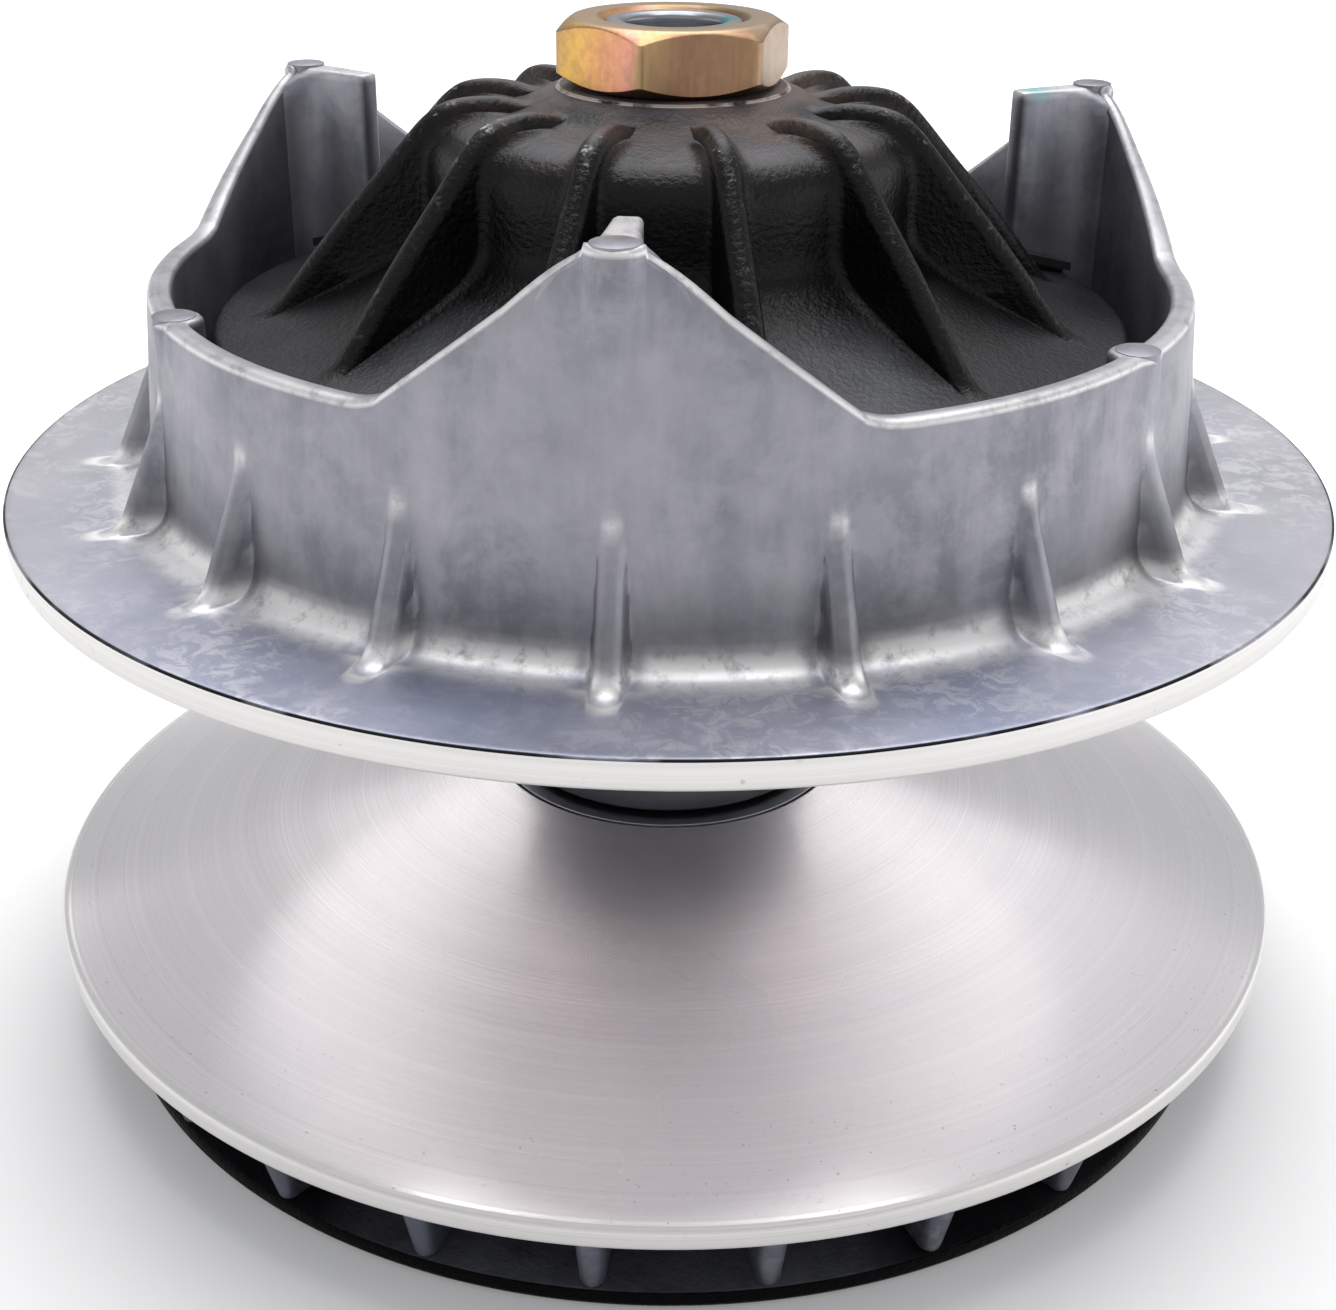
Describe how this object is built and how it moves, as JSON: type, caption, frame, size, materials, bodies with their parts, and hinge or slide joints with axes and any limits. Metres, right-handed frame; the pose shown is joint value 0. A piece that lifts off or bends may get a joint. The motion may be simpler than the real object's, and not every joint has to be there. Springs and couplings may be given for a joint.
{
  "type": "cvt pulley set",
  "caption": "Centrifugal drive pulley for a belt CVT: finned fixed sheave on a hollow shaft, sliding sheave with scalloped housing, ribbed governor cup, levers, spring and hex nut.",
  "frame": {"origin": "middle of the hub's bottom face, on the shaft axis", "axes": "+Z along the shaft from the engine side to the nut; one housing peak faces -Y"},
  "size_m": [0.2, 0.2, 0.1544],
  "materials": {
    "cast_aluminium": "mottled satin casting with a bright turned rim",
    "turned_aluminium": "fine turned lines, semi-bright",
    "black_coat": "satin black coating with a fine grain",
    "ground_steel": "ground",
    "dark_steel": "oiled dark steel",
    "yellow_zinc": "yellow zinc plate with brown and violet tints",
    "bronze": "sintered bronze",
    "black_nylon": "low-friction plastic",
    "seal_rubber": "matt",
    "spring_steel": "shot peened"
  },
  "bodies": {
    "shaft_assembly": {"fixed_sheave": "turned_aluminium", "fan_cover_plate": "black_coat", "fan_cover_screw_1": "dark_steel", "fan_cover_screw_2": "dark_steel", "fan_cover_screw_3": "dark_steel", "fan_cover_screw_4": "dark_steel", "fan_cover_screw_5": "dark_steel", "fan_cover_screw_6": "dark_steel", "drive_shaft": "ground_steel", "governor_cup": "black_coat", "shaft_nut": "yellow_zinc", "idler_thrust_washer": "ground_steel", "idler_inner_race": "ground_steel", "spring_seat": "ground_steel", "return_spring": "spring_steel", "guide_shoe_1": "black_nylon", "guide_shoe_2": "black_nylon", "guide_shoe_3": "black_nylon", "cam_roller_pin_1": "ground_steel", "cam_roller_pin_2": "ground_steel", "cam_roller_pin_3": "ground_steel"},
    "sliding_sheave": {"movable_sheave": "cast_aluminium", "lower_seal": "seal_rubber", "lower_bushing": "bronze", "upper_bushing": "bronze", "upper_seal": "seal_rubber", "lever_pin_1": "ground_steel", "lever_pin_2": "ground_steel", "lever_pin_3": "ground_steel"},
    "lever_1": {"centrifugal_lever_1": "dark_steel", "lever_bush_1": "bronze", "lever_weight_1": "ground_steel"},
    "lever_2": {"centrifugal_lever_2": "dark_steel", "lever_bush_2": "bronze", "lever_weight_2": "ground_steel"},
    "lever_3": {"centrifugal_lever_3": "dark_steel", "lever_bush_3": "bronze", "lever_weight_3": "ground_steel"},
    "roller_1": {"cam_roller_1": "ground_steel"},
    "roller_2": {"cam_roller_2": "ground_steel"},
    "roller_3": {"cam_roller_3": "ground_steel"},
    "idler": {"idler_sleeve": "dark_steel"},
    "idler_cage": {"idler_needle_cage": "dark_steel"}
  },
  "joints": [
    {"name": "sheave_slide", "type": "slide", "parent": "shaft_assembly", "child": "sliding_sheave", "axis": [0, 0, -1], "range_m": [0, 0.027], "stiffness_N_per_m": 10000, "springref_m": -0.02, "deforming": ["return_spring"]},
    {"name": "lever_swing_1", "type": "hinge", "parent": "sliding_sheave", "child": "lever_1", "pos_m": [0.05543, -0.032, 0.088], "axis": [0.5, 0.866, 0], "range_deg": [0, 65]},
    {"name": "lever_swing_2", "type": "hinge", "parent": "sliding_sheave", "child": "lever_2", "pos_m": [0, 0.064, 0.088], "axis": [-1, 0, 0], "range_deg": [0, 65]},
    {"name": "lever_swing_3", "type": "hinge", "parent": "sliding_sheave", "child": "lever_3", "pos_m": [-0.05543, -0.032, 0.088], "axis": [0.5, -0.866, 0], "range_deg": [0, 65]},
    {"name": "roller_turn_1", "type": "hinge", "parent": "shaft_assembly", "child": "roller_1", "pos_m": [0.04373, -0.02525, 0.095], "axis": [0.5, 0.866, 0], "range_deg": [-132, 0]},
    {"name": "roller_turn_2", "type": "hinge", "parent": "shaft_assembly", "child": "roller_2", "pos_m": [0, 0.0505, 0.095], "axis": [-1, 0, 0], "range_deg": [-132, 0]},
    {"name": "roller_turn_3", "type": "hinge", "parent": "shaft_assembly", "child": "roller_3", "pos_m": [-0.04373, -0.02525, 0.095], "axis": [0.5, -0.866, 0], "range_deg": [-132, 0]},
    {"name": "idler_spin", "type": "hinge", "parent": "shaft_assembly", "child": "idler", "pos_m": [0, 0, 0.051], "axis": [0, 0, 1], "continuous": true},
    {"name": "idler_cage_spin", "type": "hinge", "parent": "shaft_assembly", "child": "idler_cage", "pos_m": [0, 0, 0.051], "axis": [0, 0, 1], "continuous": true}
  ],
  "couplings": [
    {"joint": "lever_swing_1", "follows": "sheave_slide", "rad_per_m": 42},
    {"joint": "lever_swing_2", "follows": "sheave_slide", "rad_per_m": 42},
    {"joint": "lever_swing_3", "follows": "sheave_slide", "rad_per_m": 42},
    {"joint": "roller_turn_1", "follows": "sheave_slide", "rad_per_m": -85},
    {"joint": "roller_turn_2", "follows": "sheave_slide", "rad_per_m": -85},
    {"joint": "roller_turn_3", "follows": "sheave_slide", "rad_per_m": -85},
    {"joint": "idler_cage_spin", "follows": "idler_spin", "ratio": 0.54}
  ]
}
